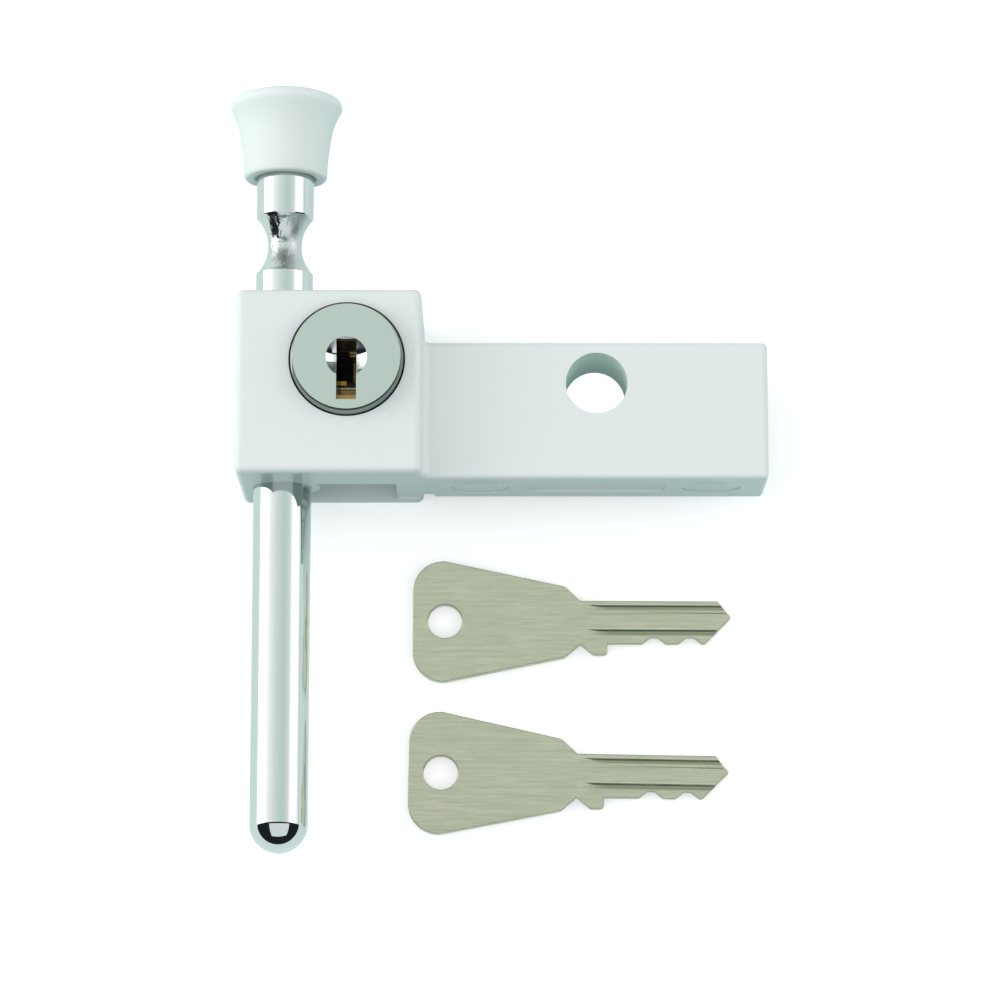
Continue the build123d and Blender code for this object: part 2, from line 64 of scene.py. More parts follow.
def put(tree, socket, value):    # numbers and colours are set, anything else is linked
    if isinstance(value, (int, float)):
        socket.default_value = value
    elif isinstance(value, tuple):
        socket.default_value = (*value, 1)
    else:
        tree.links.new(value, socket)


def calc(tree, operation, *values):
    made = addNode(tree, "ShaderNodeMath", operation=operation)
    for socket, value in zip(made.inputs, values):
        put(tree, socket, value)
    return made.outputs[0]


def blendColour(tree, factor, first, second):
    made = addNode(tree, "ShaderNodeMix", data_type="RGBA")
    for place, value in ((0, factor), (6, first), (7, second)):
        put(tree, made.inputs[place], value)
    return made.outputs[2]


def remap(tree, value, low, high, first=0.0, last=1.0, smooth=True):
    made = addNode(tree, "ShaderNodeMapRange", interpolation_type="SMOOTHSTEP" if smooth else "LINEAR")
    given = {"Value": value, "From Min": low, "From Max": high, "To Min": first, "To Max": last}
    for label, number in given.items():
        put(tree, made.inputs[label], number)
    return made.outputs["Result"]


def splitXYZ(tree, vector):
    made = addNode(tree, "ShaderNodeSeparateXYZ")
    tree.links.new(vector, made.inputs[0])
    return made.outputs


def scaled(tree, vector, factor):
    made = addNode(tree, "ShaderNodeVectorMath", operation="SCALE")
    tree.links.new(vector, made.inputs[0])
    tree.links.new(factor, made.inputs["Scale"])
    return made.outputs[0]


def noise(tree, vector, scale, detail=2.0, roughness=0.5, distortion=0.0):
    made = addNode(tree, "ShaderNodeTexNoise")
    fill(made, Detail=detail, Roughness=roughness, Distortion=distortion)
    put(tree, made.inputs["Scale"], scale)
    tree.links.new(vector, made.inputs["Vector"])
    return made.outputs["Fac"]


def ramp(tree, factor, stops):
    made = addNode(tree, "ShaderNodeValToRGB")
    band = made.color_ramp
    while len(band.elements) < len(stops):
        band.elements.new(0.5)
    for element, (place, colour) in zip(band.elements, stops):
        element.position = place
        element.color = (*colour, 1)
    tree.links.new(factor, made.inputs["Fac"])
    return made.outputs["Color"]


def mapped(tree, vector, kind, **values):
    made = addNode(tree, "ShaderNodeMapping", vector_type=kind)
    fill(made, **values)
    tree.links.new(vector, made.inputs["Vector"])
    return made.outputs["Vector"]


def ownPlace(tree):              # coordinates that stay with a piece when it moves
    return addNode(tree, "ShaderNodeTexCoord").outputs["Object"]


def awayFrom(tree, split, x, y):           # distance from an upright line, its place in mm
    across = calc(tree, "SUBTRACT", split["X"], x * mm)
    along = calc(tree, "SUBTRACT", split["Y"], y * mm)
    squared = calc(tree, "MULTIPLY_ADD", along, along, calc(tree, "MULTIPLY", across, across))
    return calc(tree, "SQRT", squared)


def newGroup(name, inputs, outputs):       # takes a vector and numbers, gives numbers
    group = bpy.data.node_groups.new(name, "ShaderNodeTree")
    group.interface.new_socket("Vector", in_out="INPUT", socket_type="NodeSocketVector")
    for way, labels in (("INPUT", inputs), ("OUTPUT", outputs)):
        for label in labels:
            group.interface.new_socket(label, in_out=way, socket_type="NodeSocketFloat")
    return group, addNode(group, "NodeGroupInput").outputs, addNode(group, "NodeGroupOutput").inputs


# Shared surface effects

skinLook = dict(
    peelDetail=3.0, peelRoughness=0.45, cloudDetail=4.0, cloudRoughness=0.6, speckScale=450.0,
    speckInner=0.03, speckOuter=0.09, rareScale=130.0, rareDetail=1.0, rareFrom=0.68,
)


def makeCastSkin():              # fine orange peel and faint clouding of a sprayed or moulded skin
    group, given, out = newGroup("castSkin", ["Peel Scale", "Cloud Scale"], ["Height", "Cloud", "Speck"])
    look = skinLook
    place = given["Vector"]
    peel = noise(group, place, given["Peel Scale"], look["peelDetail"], look["peelRoughness"])
    cloud = noise(group, place, given["Cloud Scale"], look["cloudDetail"], look["cloudRoughness"])
    speck = addNode(group, "ShaderNodeTexVoronoi", feature="F1")
    fill(speck, Scale=look["speckScale"], Randomness=1.0)
    group.links.new(place, speck.inputs["Vector"])
    dot = remap(group, speck.outputs["Distance"], look["speckInner"], look["speckOuter"], 1.0, 0.0)
    spread = noise(group, place, look["rareScale"], look["rareDetail"])
    rare = calc(group, "GREATER_THAN", spread, look["rareFrom"])
    group.links.new(peel, out["Height"])
    group.links.new(cloud, out["Cloud"])
    group.links.new(calc(group, "MULTIPLY", dot, rare), out["Speck"])
    return group


brushLook = dict(
    details=dict(Fine=4.0, Coarse=2.0), shares=dict(Fine=0.6, Coarse=0.4), roughness=0.7,
    patchScale=220.0, patchDetail=3.0,
)


def makeBrushLines():            # drawn-out scratches, long in X of the given vector
    group, given, out = newGroup("brushLines", ["Fine", "Coarse", "Stretch"], ["Line", "Patch"])
    look = brushLook
    x, y, z = splitXYZ(group, given["Vector"])
    joined = addNode(group, "ShaderNodeCombineXYZ")
    for socket, value in zip(joined.inputs, (calc(group, "MULTIPLY", x, given["Stretch"]), y, z)):
        group.links.new(value, socket)
    lines = []
    for label, detail in look["details"].items():
        line = noise(group, joined.outputs[0], given[label], detail, look["roughness"])
        lines.append(calc(group, "MULTIPLY", line, look["shares"][label]))
    group.links.new(calc(group, "ADD", *lines), out["Line"])
    group.links.new(noise(group, given["Vector"], look["patchScale"], look["patchDetail"]), out["Patch"])
    return group


smudgeLook = dict(
    detail=5.0, roughness=0.65, distortion=0.4, spreadFrom=0.35, spreadTo=0.7, waveScale=260.0,
    waveDetail=2.0,
)


def makeSmudge():                # uneven polish, as left by wiping and handling
    group, given, out = newGroup("smudge", ["Scale", "Low", "High"], ["Roughness", "Wave"])
    look = smudgeLook
    place = given["Vector"]
    film = noise(group, place, given["Scale"], look["detail"], look["roughness"], look["distortion"])
    low, high = look["spreadFrom"], look["spreadTo"]
    group.links.new(remap(group, film, low, high, given["Low"], given["High"], smooth=False), out["Roughness"])
    group.links.new(noise(group, place, look["waveScale"], look["waveDetail"]), out["Wave"])
    return group


castSkin = makeCastSkin()
brushLines = makeBrushLines()
smudge = makeSmudge()


def newMaterial(name, colour, roughness, metallic=0.0):
    material = bpy.data.materials.new(name)
    material.use_nodes = True
    material.diffuse_color = (*colour, 1)
    tree = material.node_tree
    shader = tree.nodes["Principled BSDF"]
    fill(shader, Base_Color=(*colour, 1), Roughness=roughness, Metallic=metallic)
    return material, tree, shader, ownPlace(tree)


def useGroup(tree, group, vector, **values):
    made = addNode(tree, "ShaderNodeGroup", node_tree=group)
    fill(made, **values)
    tree.links.new(vector, made.inputs["Vector"])
    return made


def useBump(tree, shader, height, strength, distance):
    made = addNode(tree, "ShaderNodeBump")
    fill(made, Strength=strength, Distance=distance)
    tree.links.new(height, made.inputs["Height"])
    tree.links.new(made.outputs["Normal"], shader.inputs["Normal"])


speckColour = (0.3, 0.31, 0.3)
streakFrom = 0.38
streakTo = 0.62
glowDepth = 4 * mm


def coatedMaterial(name, finish):          # paint or moulded plastic
    material, tree, shader, place = newMaterial(name, finish["colour"], finish["roughness"])
    skin = useGroup(tree, castSkin, place, Peel_Scale=finish["peelScale"], Cloud_Scale=finish["cloudScale"])
    clouded = blendColour(tree, skin.outputs["Cloud"], finish["shade"], finish["colour"])
    specks = calc(tree, "MULTIPLY", skin.outputs["Speck"], finish["speck"])
    tree.links.new(blendColour(tree, specks, clouded, speckColour), shader.inputs["Base Color"])
    wander = calc(tree, "MULTIPLY_ADD", skin.outputs["Cloud"], finish["roughnessWander"], finish["roughness"])
    tree.links.new(wander, shader.inputs["Roughness"])
    useBump(tree, shader, skin.outputs["Height"], finish["peel"], finish["peelDepth"])
    fill(shader, Coat_Weight=finish["coat"], Coat_Roughness=finish["coatRoughness"])
    if "glowThrough" in finish:
        fill(shader, Subsurface_Weight=finish["glowThrough"], Subsurface_Scale=glowDepth)
        fill(shader, Subsurface_Radius=(1, 1, 1))
    return material


def polishedMaterial(name, finish):        # plated or turned metal with uneven polish
    material, tree, shader, place = newMaterial(name, finish["colour"], finish["low"], 1.0)
    wiped = useGroup(tree, smudge, place, Scale=finish["scale"], Low=finish["low"], High=finish["high"])
    tree.links.new(wiped.outputs["Roughness"], shader.inputs["Roughness"])
    waved = blendColour(tree, wiped.outputs["Wave"], finish["shade"], finish["colour"])
    tree.links.new(waved, shader.inputs["Base Color"])
    useBump(tree, shader, wiped.outputs["Wave"], finish["wave"], finish["waveDepth"])
    return material


def hammeredWaist(material, waist):        # adds the rough waist to the rod's chrome
    tree = material.node_tree
    shader = tree.nodes["Principled BSDF"]
    smooth = shader.inputs["Normal"].links[0].from_socket
    place = ownPlace(tree)
    split = splitXYZ(tree, place)
    apart = calc(tree, "ABSOLUTE", calc(tree, "SUBTRACT", split["Y"], waist["middle"] * mm))
    inside = remap(tree, apart, (waist["half"] - waist["fade"]) * mm, waist["half"] * mm, 1.0, 0.0)
    drawn = mapped(tree, place, "POINT", Scale=(1.0, waist["dentStretch"], 1.0))
    dents = noise(
        tree, drawn, waist["dentScale"], waist["dentDetail"], waist["dentRoughness"], waist["dentTwist"],
    )
    rough = addNode(tree, "ShaderNodeBump")
    fill(rough, Strength=waist["strength"], Distance=waist["depth"])
    tree.links.new(calc(tree, "MULTIPLY", dents, inside), rough.inputs["Height"])
    tree.links.new(smooth, rough.inputs["Normal"])
    tree.links.new(rough.outputs["Normal"], shader.inputs["Normal"])
    wiped = shader.inputs["Roughness"].links[0].from_socket
    right = (waist["axisX"] + waist["rightFade"]) * mm
    dull = remap(tree, split["X"], waist["axisX"] * mm, right, waist["dull"], waist["rightDull"])
    tree.links.new(calc(tree, "MULTIPLY_ADD", inside, dull, wiped), shader.inputs["Roughness"])


def brushedMaterial(name, finish):         # drawn, ground or brushed metal
    material, tree, shader, place = newMaterial(name, finish["colour"], finish["roughness"], 1.0)
    lines = useGroup(
        tree, brushLines, place, Fine=finish["fine"], Coarse=finish["coarse"], Stretch=finish["stretch"],
    )
    streak = ramp(tree, lines.outputs["Line"], [(streakFrom, (0.0, 0.0, 0.0)), (streakTo, (1.0, 1.0, 1.0))])
    streaked = blendColour(tree, streak, finish["shade"], finish["colour"])
    patched = calc(tree, "MULTIPLY", lines.outputs["Patch"], finish["patch"])
    tree.links.new(blendColour(tree, patched, streaked, finish["stain"]), shader.inputs["Base Color"])
    wander = calc(tree, "MULTIPLY_ADD", lines.outputs["Line"], finish["roughnessWander"], finish["roughness"])
    tree.links.new(wander, shader.inputs["Roughness"])
    useBump(tree, shader, lines.outputs["Line"], finish["scratch"], finish["scratchDepth"])
    return material


coats = {
    "whiteCasting": dict(
        colour=(0.762, 0.782, 0.776), shade=(0.748, 0.770, 0.764), roughness=0.30, roughnessWander=0.08,
        peelScale=900.0, peel=0.12, peelDepth=0.00004, cloudScale=45.0, speck=0.25,
        coat=0.12, coatRoughness=0.10,
    ),
    "whiteCover": dict(
        colour=(0.780, 0.795, 0.790), shade=(0.750, 0.770, 0.765), roughness=0.28, roughnessWander=0.10,
        peelScale=800.0, peel=0.15, peelDepth=0.00005, cloudScale=60.0, speck=0.3,
        coat=0.2, coatRoughness=0.10,
    ),
    "whiteCap": dict(
        colour=(0.690, 0.730, 0.718), shade=(0.675, 0.718, 0.706), roughness=0.18, roughnessWander=0.06,
        peelScale=1200.0, peel=0.05, peelDepth=0.00003, cloudScale=80.0, speck=0.1,
        coat=0.2, coatRoughness=0.08,
    ),
    "satinKnob": dict(
        colour=(0.768, 0.798, 0.782), shade=(0.753, 0.785, 0.768), roughness=0.46, roughnessWander=0.10,
        peelScale=1600.0, peel=0.18, peelDepth=0.00003, cloudScale=70.0, speck=0.08,
        coat=0.0, coatRoughness=0.1, glowThrough=0.6,
    ),
    "naturalNylon": dict(
        colour=(0.72, 0.69, 0.58), shade=(0.66, 0.62, 0.50), roughness=0.42, roughnessWander=0.12,
        peelScale=1500.0, peel=0.2, peelDepth=0.00004, cloudScale=120.0, speck=0.1,
        coat=0.0, coatRoughness=0.1,
    ),
    "blackOxide": dict(
        colour=(0.035, 0.036, 0.040), shade=(0.055, 0.050, 0.046), roughness=0.34, roughnessWander=0.22,
        peelScale=1800.0, peel=0.25, peelDepth=0.00003, cloudScale=300.0, speck=0.1,
        coat=0.15, coatRoughness=0.2,
    ),
}
polishes = {
    "polishedChrome": dict(
        colour=(0.60, 0.64, 0.63), shade=(0.57, 0.61, 0.60), low=0.025, high=0.05, scale=70.0, wave=0.03,
        waveDepth=0.00002,
    ),
    "wornBrass": dict(
        colour=(0.62, 0.40, 0.13), shade=(0.42, 0.25, 0.08), low=0.22, high=0.40, scale=500.0, wave=0.3,
        waveDepth=0.00004,
    ),
    "zincPlate": dict(
        colour=(0.62, 0.64, 0.66), shade=(0.55, 0.58, 0.56), low=0.25, high=0.42, scale=160.0, wave=0.1,
        waveDepth=0.00004,
    ),
    "springSteel": dict(
        colour=(0.52, 0.52, 0.53), shade=(0.42, 0.41, 0.40), low=0.20, high=0.34, scale=900.0, wave=0.1,
        waveDepth=0.00002,
    ),
}
brushes = {
    "brushedNickel": dict(
        colour=(0.72, 0.70, 0.55), shade=(0.53, 0.54, 0.40), stain=(0.52, 0.53, 0.39), patch=0.40,
        roughness=0.30, roughnessWander=0.16, fine=5200.0, coarse=1900.0, stretch=0.05,
        scratch=0.25, scratchDepth=0.00003,
    ),
    "groundSteel": dict(
        colour=(0.58, 0.59, 0.60), shade=(0.48, 0.49, 0.50), stain=(0.42, 0.42, 0.43), patch=0.3,
        roughness=0.28, roughnessWander=0.14, fine=6000.0, coarse=1800.0, stretch=0.05,
        scratch=0.25, scratchDepth=0.00003,
    ),
}
materials = {name: coatedMaterial(name, finish) for name, finish in coats.items()}
materials.update({name: polishedMaterial(name, finish) for name, finish in polishes.items()})
materials.update({name: brushedMaterial(name, finish) for name, finish in brushes.items()})
waistFinish = dict(
    middle=22.5, half=4.9, fade=0.5, dentScale=900.0, dentStretch=0.55, dentDetail=3.0, dentRoughness=0.55,
    dentTwist=0.6, strength=0.8, depth=0.00020, dull=0.09, axisX=-11.15, rightFade=1.4, rightDull=0.34,
)
hammeredWaist(materials["polishedChrome"], waistFinish)


plugFinish = dict(
    satin=(0.565, 0.612, 0.582), satinShade=(0.54, 0.588, 0.555), bright=(0.66, 0.69, 0.69),
    satinRoughness=0.17, brightRoughness=0.04, dishRadius=3.42, grain=2600.0, grainDetail=3.0,
    grainRoughness=0.6, grainSpread=0.06, grainBump=0.06, grainDepth=0.00002,
    # edge, line and rim are painted shade: a darker side band, a dark line along the face's edge and a painted
    # shadow in the gap round the plug
    edge=(0.24, 0.30, 0.265), edgeRadius=9.05, line=(0.03, 0.045, 0.04), lineRadius=8.93, lineRise=0.14,
    rim=(0.03, 0.045, 0.04), rimRadius=9.36, rimDrop=0.14, dulledTop=(0.9, 1.8), dullRoughness=0.30,
    # painted reflections: darker patches and a dark line in the polished dish
    dishReflections=[
        ((-3.45, -1.50), (-3.0, -0.95), (24.0, 30.0), (0.14, 0.17, 0.17)),
        ((-3.45, -1.50), (-1.25, -0.70), (24.0, 30.0), (0.03, 0.045, 0.045)),
        ((1.60, 3.30), (-3.0, -1.9), (24.0, 30.0), (0.18, 0.22, 0.21)),
    ],
    # painted highlight along the left rim
    rimHighlight=[((-9.30, -8.86), (-3.8, 3.3), (24.0, 30.0), (0.97, 0.98, 0.97))],
    # painted shade: the keyway's walls are coloured nearly black
    slotShade=(0.012, 0.014, 0.013), slotHalf=1.75, slotTop=3.1, slotBottom=-7.3, lipFrom=26.15,
    lipTo=26.55, glowMottleScale=1400.0, glowMottleGain=1.2, glowMottleFloor=0.4,
    # painted glow: emission boxes standing in for light on the brass deep in the keyway
    keywayGlows=[
        ((0.05, 1.35), (2.8, 3.2), (13.6, 19.3), (0.115, 0.085, 0.030)),
        ((0.45, 1.70), (-0.6, 3.0), (9.0, 12.0), (0.050, 0.034, 0.010)),
        ((-1.70, -0.55), (-1.1, -0.2), (9.0, 12.0), (0.210, 0.120, 0.020)),
        ((-1.70, 1.70), (-1.75, -1.35), (9.0, 12.0), (0.240, 0.230, 0.130)),
        ((-1.70, 1.70), (-3.60, -1.75), (9.0, 12.0), (0.110, 0.080, 0.030)),
    ],
    glintEdge=0.18, dishReflectionEdge=0.35,
)


def softBox(tree, split, spans, edge):     # 1 inside three spans in mm; a span may bring a fade of its own
    inside = 1.0
    for axis, (low, high, *own) in zip("XYZ", spans):
        apart = calc(tree, "ABSOLUTE", calc(tree, "SUBTRACT", split[axis], (low + high) / 2 * mm))
        half = (high - low) / 2
        width = own[0] if own else edge
        fade = remap(tree, apart, max(half - width, 0.0) * mm, half * mm, 1.0, 0.0)
        inside = calc(tree, "MULTIPLY", inside, fade)
    return inside


def paintBoxes(tree, split, colour, rows, edge):     # each row: three spans and the colour inside them
    for *spans, paint in rows:
        colour = blendColour(tree, softBox(tree, split, spans, edge), colour, paint)
    return colour


def inKeyway(tree, split, finish):         # 1 in the slot, 0 near the face
    inside = calc(tree, "LESS_THAN", calc(tree, "ABSOLUTE", split["X"]), finish["slotHalf"] * mm)
    for operation, limit in (("LESS_THAN", "slotTop"), ("GREATER_THAN", "slotBottom")):
        within = calc(tree, operation, split["Y"], finish[limit] * mm)
        inside = calc(tree, "MULTIPLY", inside, within)
    lip = remap(tree, split["Z"], finish["lipFrom"] * mm, finish["lipTo"] * mm, smooth=False)
    return calc(tree, "MULTIPLY", inside, calc(tree, "SUBTRACT", 1.0, lip))


def makePlugFace():              # satin plate all over, polished inside the dish round the keyway; painted shade on its side band, rim and keyway, painted reflections in the dish, a painted highlight on the left rim and a painted glow deep in the keyway
    finish = plugFinish
    material, tree, shader, place = newMaterial("satinPlug", finish["satin"], finish["satinRoughness"], 1.0)
    split = splitXYZ(tree, place)
    reach = awayFrom(tree, split, 0, 0)
    inDish = calc(tree, "LESS_THAN", reach, finish["dishRadius"] * mm)
    onShadedBand = calc(tree, "GREATER_THAN", reach, finish["edgeRadius"] * mm)
    rimReach = awayFrom(tree, split, 0, -finish["rimDrop"])
    onRimShadow = calc(tree, "GREATER_THAN", rimReach, finish["rimRadius"] * mm)
    lineReach = awayFrom(tree, split, 0, finish["lineRise"])
    onShadowLine = calc(tree, "GREATER_THAN", lineReach, finish["lineRadius"] * mm)
    grain = noise(tree, place, finish["grain"], finish["grainDetail"], finish["grainRoughness"])

    satin = blendColour(tree, grain, finish["satinShade"], finish["satin"])
    # painted shade on the side band and along the face's edge
    satin = blendColour(tree, onShadedBand, blendColour(tree, onShadowLine, satin, finish["line"]), finish["edge"])
    # painted highlight along the left rim
    satin = paintBoxes(tree, split, satin, finish["rimHighlight"], finish["glintEdge"])
    # painted shadow in the gap round the plug
    satin = blendColour(tree, onRimShadow, satin, finish["rim"])
    # painted reflections in the dish
    bright = paintBoxes(tree, split, finish["bright"], finish["dishReflections"], finish["dishReflectionEdge"])
    plated = blendColour(tree, inDish, satin, bright)
    # painted shade inside the keyway
    colour = blendColour(tree, inKeyway(tree, split, finish), plated, finish["slotShade"])
    tree.links.new(colour, shader.inputs["Base Color"])

    lowest = finish["satinRoughness"] - finish["grainSpread"] / 2
    satinRough = calc(tree, "MULTIPLY_ADD", grain, finish["grainSpread"], lowest)
    low, high = [height * mm for height in finish["dulledTop"]]
    dulled = remap(tree, split["Y"], low, high, finish["brightRoughness"], finish["dullRoughness"])
    span = calc(tree, "SUBTRACT", dulled, satinRough)
    tree.links.new(calc(tree, "MULTIPLY_ADD", span, inDish, satinRough), shader.inputs["Roughness"])
    outside = calc(tree, "SUBTRACT", 1.0, inDish)
    useBump(tree, shader, calc(tree, "MULTIPLY", grain, outside), finish["grainBump"], finish["grainDepth"])

    # painted glow deep in the keyway, mottled by noise
    glowNoise = noise(tree, place, finish["glowMottleScale"], finish["grainDetail"], finish["grainRoughness"])
    glowMottle = calc(tree, "MULTIPLY_ADD", glowNoise, finish["glowMottleGain"], finish["glowMottleFloor"])
    glow = paintBoxes(tree, split, (0.0, 0.0, 0.0), finish["keywayGlows"], finish["glintEdge"])
    tree.links.new(scaled(tree, glow, glowMottle), shader.inputs["Emission Color"])
    fill(shader, Emission_Strength=1.0)
    return material


holeLightTint = dict(axis=(41.4, -2.8), radius=5.16, tint=(0.66, 0.80, 0.755))


def tintHole(material, finish):  # painted light: the wall inside the arm's hole is coloured greener, as the light there is greener than on its outside
    tree = material.node_tree
    shader = tree.nodes["Principled BSDF"]
    away = awayFrom(tree, splitXYZ(tree, ownPlace(tree)), *finish["axis"])
    inside = calc(tree, "LESS_THAN", away, finish["radius"] * mm)
    painted = shader.inputs["Base Color"].links[0].from_socket
    tree.links.new(blendColour(tree, inside, painted, finish["tint"]), shader.inputs["Base Color"])


keyShadeBands = dict(                # where each key lies and how far it is turned, then boxes of painted shade in its own frame
    places=((16.0, -39.95, -0.25), (15.35, -65.7, -1.0)), fade=0.38,
    lines=[
        ((23.4, 60.0, 5.0), (1.95, 2.85), (0.0, 5.0), (0.30, 0.33, 0.21)),
        ((23.4, 40.0, 4.0), (1.10, 1.62), (0.0, 5.0), (0.48, 0.50, 0.37)),
        ((23.4, 60.0, 5.0), (-2.40, -1.25), (0.0, 5.0), (0.30, 0.34, 0.23)),
    ],
)


def shadeLines(material, finish):          # painted shade along the foot of each milled edge
    tree = material.node_tree
    shader = tree.nodes["Principled BSDF"]
    place = ownPlace(tree)
    metal = shader.inputs["Base Color"].links[0].from_socket
    for x, y, angle in finish["places"]:
        turned = (0.0, 0.0, math.radians(angle))
        own = mapped(tree, place, "TEXTURE", Location=(x * mm, y * mm, 0.0), Rotation=turned)
        metal = paintBoxes(tree, splitXYZ(tree, own), metal, finish["lines"], finish["fade"])
    tree.links.new(metal, shader.inputs["Base Color"])


tintHole(materials["whiteCasting"], holeLightTint)
shadeLines(materials["brushedNickel"], keyShadeBands)
materials["satinPlug"] = makePlugFace()
print("materials made:", len(materials))


# Pieces dressed over the CAD solids

weld = 0.002 * mm                # corners closer than this are one
flat = math.radians(0.3)         # neighbouring triangles closer in angle than this are one face
bevelSegments = 2


def dress(name, node, body, slotName, material, soft=0.0, crease=32.0):
    bm = bmesh.new()
    bm.from_mesh(nodes[node].data)
    bmesh.ops.remove_doubles(bm, verts=bm.verts, dist=weld)
    bmesh.ops.dissolve_limit(bm, angle_limit=flat, verts=bm.verts, edges=bm.edges)
    shadeSmooth(bm, crease)
    mesh = bpy.data.meshes.new(name)
    bm.to_mesh(mesh)
    bm.free()
    return finishPiece(name, mesh, body, material, node, soft, crease)


def shadeSmooth(bm, crease):     # smooth all over, sharp only at edges steeper than the crease
    for face in bm.faces:
        face.smooth = True
    for edge in bm.edges:
        edge.smooth = len(edge.link_faces) == 2 and edge.calc_face_angle() < math.radians(crease)


def finishPiece(name, mesh, body, material, node, soft, crease):
    piece = bpy.data.objects.new(name, mesh)
    bpy.context.scene.collection.objects.link(piece)
    mesh.materials.append(materials[material])
    if soft > 0:
        bevel = piece.modifiers.new("softEdges", "BEVEL")
        bevel.width = soft * mm
        bevel.segments = bevelSegments
        bevel.limit_method = "ANGLE"
        bevel.angle_limit = math.radians(crease)
        bevel.use_clamp_overlap = True
    normals = piece.modifiers.new("flatFaces", "WEIGHTED_NORMAL")
    normals.keep_sharp = True
    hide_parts(node)
    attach(piece, body)
    return piece


rodShape = dict(
    axisX=-11.15, axisZ=13.1, radius=4.85, tip=-80.5, waistMiddle=22.5, waistHeight=9.8, waistRadius=2.85,
    shoulder=35.1, spigotRadius=3.0, spigotEnd=43.1, tipSteps=20, waistSteps=24, roundSteps=96, weld=0.0005,
    crease=30.0, edge=0.12,
)


def turnRod():                   # outline drawn in the XY plane, then turned round the bolt's axis
    shape = rodShape
    bm = bmesh.new()
    tip = bm.verts.new((0, shape["tip"], 0))
    around = dict(axis=(0, 0, 1), use_merge=False, use_normal_flip=False, use_duplicate=False)
    bmesh.ops.spin(
        bm, geom=[tip], cent=(0, shape["tip"] + shape["radius"], 0), angle=math.pi / 2,
        steps=shape["tipSteps"], **around,
    )
    bm.verts.ensure_lookup_table()
    last = max(bm.verts, key=lambda v: v.co.y)
    half = shape["waistHeight"] / 2
    depth = shape["radius"] - shape["waistRadius"]
    arc = (half * half + depth * depth) / (2 * depth)
    foot = bm.verts.new((shape["radius"], shape["waistMiddle"] - half, 0))
    bm.edges.new((last, foot))
    centre = (shape["waistRadius"] + arc, shape["waistMiddle"], 0)
    sweep = -2 * math.asin(half / arc)
    bmesh.ops.spin(bm, geom=[foot], cent=centre, angle=sweep, steps=shape["waistSteps"], **around)
    last = max(bm.verts, key=lambda v: v.co.y)
    for x, y in (
        (shape["radius"], shape["shoulder"]), (shape["spigotRadius"], shape["shoulder"]),
        (shape["spigotRadius"], shape["spigotEnd"]), (0, shape["spigotEnd"]),
    ):
        corner = bm.verts.new((x, y, 0))
        bm.edges.new((last, corner))
        last = corner
    bmesh.ops.spin(
        bm, geom=bm.verts[:] + bm.edges[:], cent=(0, 0, 0), axis=(0, 1, 0), angle=2 * math.pi,
        steps=shape["roundSteps"], use_merge=True, use_normal_flip=False, use_duplicate=False,
    )
    bmesh.ops.remove_doubles(bm, verts=bm.verts, dist=shape["weld"])
    bmesh.ops.recalc_face_normals(bm, faces=bm.faces)
    shadeSmooth(bm, shape["crease"])
    bmesh.ops.scale(bm, vec=(mm, mm, mm), verts=bm.verts)
    bmesh.ops.translate(bm, vec=(shape["axisX"] * mm, 0, shape["axisZ"] * mm), verts=bm.verts)
    mesh = bpy.data.meshes.new("turnedBolt")
    bm.to_mesh(mesh)
    bm.free()
    return finishPiece(
        "turnedBolt", mesh, "bolt", "polishedChrome", "bolt_rod", shape["edge"], shape["crease"],
    )


dressed = [                      # name, node, body, slot, material, width of the softened edges in mm
    ("casting", "lock_body", "lock", "white_casting", "whiteCasting", 0.0),
    ("rearCover", "back_cover", "lock", "white_cover", "whiteCover", 0.10),
    ("plugFace", "lock_plug", "plug", "satin_plug", "satinPlug", 0.05),
    ("pushKnob", "bolt_knob", "knob", "white_knob", "satinKnob", 0.10),
    ("underCap1", "screw_cap_1", "lock", "white_cap", "whiteCap", 0.10),
    ("underCap2", "screw_cap_2", "lock", "white_cap", "whiteCap", 0.10),
    ("looseKey1", "key_1", "loose_key_1", "key_nickel", "brushedNickel", 0.14),
    ("looseKey2", "key_2", "loose_key_2", "key_nickel", "brushedNickel", 0.14),
    ("mountPlate", "fixing_plate", "lock", "zinc_steel", "zincPlate", 0.12),
]
springs = [                      # name, node, body, joint, axis, fixed end, share of length left at the limit
    ("latchSpring", "latch_spring", "lock", "latch_draw", (1, 0, 0), (10.3, 0, 5.7), 0.745),
]
for n in range(1, 5):            # four wafers with a spring each, four screws in the rear cover
    dressed.append((f"brassWafer{n}", f"wafer_{n}", f"tumbler_{n}", "brass", "wornBrass", 0.04))
    dressed.append((f"coverScrew{n}", f"cover_screw_{n}", "lock", "bright_steel", "zincPlate", 0.04))
    springs.append((
        f"waferSpring{n}", f"wafer_spring_{n}", "plug", f"tumbler_{n}_lift",
        (0, 1, 0), (-3.45, 2.9, 0), 0.768,
    ))
for row in dressed:
    dress(*row)
turnRod()
for name, node, body, joint, axis, anchor, keep in springs:
    spring = dress(name, node, body, "spring_steel", "springSteel")
    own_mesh(spring)
print("pieces dressed:", len(dressed) + len(springs) + 1)

carried = {
    "groundSteel": ["plug_holding_pin", "latch_slide"],
    "springSteel": ["brake_spring"],
    "naturalNylon": ["brake_pad"],
    "blackOxide": ["brake_screw", "clamp_screw_1", "clamp_screw_2"],
    "wornBrass": ["knob_insert"],
}
for name, members in carried.items():
    for node in members:
        mesh = nodes[node].data
        mesh.materials.clear()
        mesh.materials.append(materials[name])
print("CAD nodes given finishes:", sum(len(members) for members in carried.values()))


# Floor, world, lamps and camera

